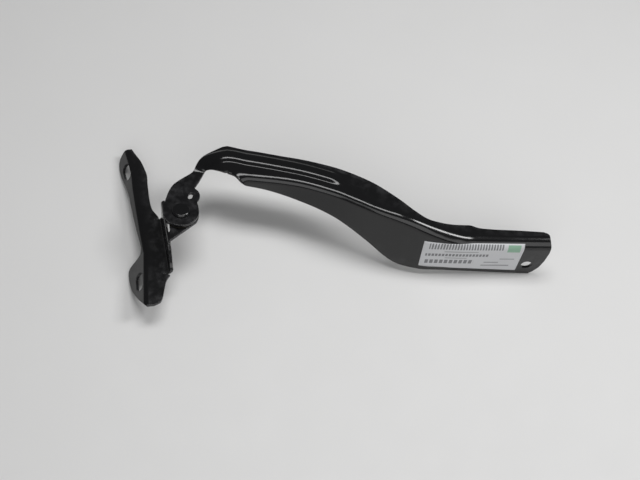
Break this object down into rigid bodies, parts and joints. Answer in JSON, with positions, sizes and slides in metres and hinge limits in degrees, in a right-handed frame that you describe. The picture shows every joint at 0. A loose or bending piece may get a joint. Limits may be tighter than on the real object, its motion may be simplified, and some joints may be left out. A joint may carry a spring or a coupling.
{
  "type": "hood hinge",
  "caption": "Stamped hood hinge: a Z-shaped base bracket with slotted lugs carries a long gooseneck arm on a riveted pivot; the arm ends in a tall drilled flange.",
  "frame": {"origin": "on the outer face of the base bracket's lower lug, beside its bolt slot", "axes": "+Z along the pivot rivet, towards its domed head; +X along the hood flange of the arm, away from the pivot; +Y across, towards the upper end of the base bracket"},
  "size_m": [0.4293, 0.193, 0.0758],
  "materials": {
    "gloss_black": "gloss dip coat",
    "bush_bronze": "dull bearing bronze",
    "dark_zinc": "dark plated",
    "label_white": "satin sticker film"
  },
  "bodies": {
    "base": {"base_bracket": "gloss_black", "pivot_rivet": "gloss_black", "pivot_bush": "bush_bronze", "rivet_washer": "dark_zinc"},
    "arm": {"hood_arm": "gloss_black", "label": "label_white"}
  },
  "joints": [
    {"name": "hood_swing", "type": "hinge", "parent": "base", "child": "arm", "pos_m": [0.04338, 0.03775, 0.04377], "axis": [0, 0, 1], "range_deg": [-15, 95]}
  ]
}
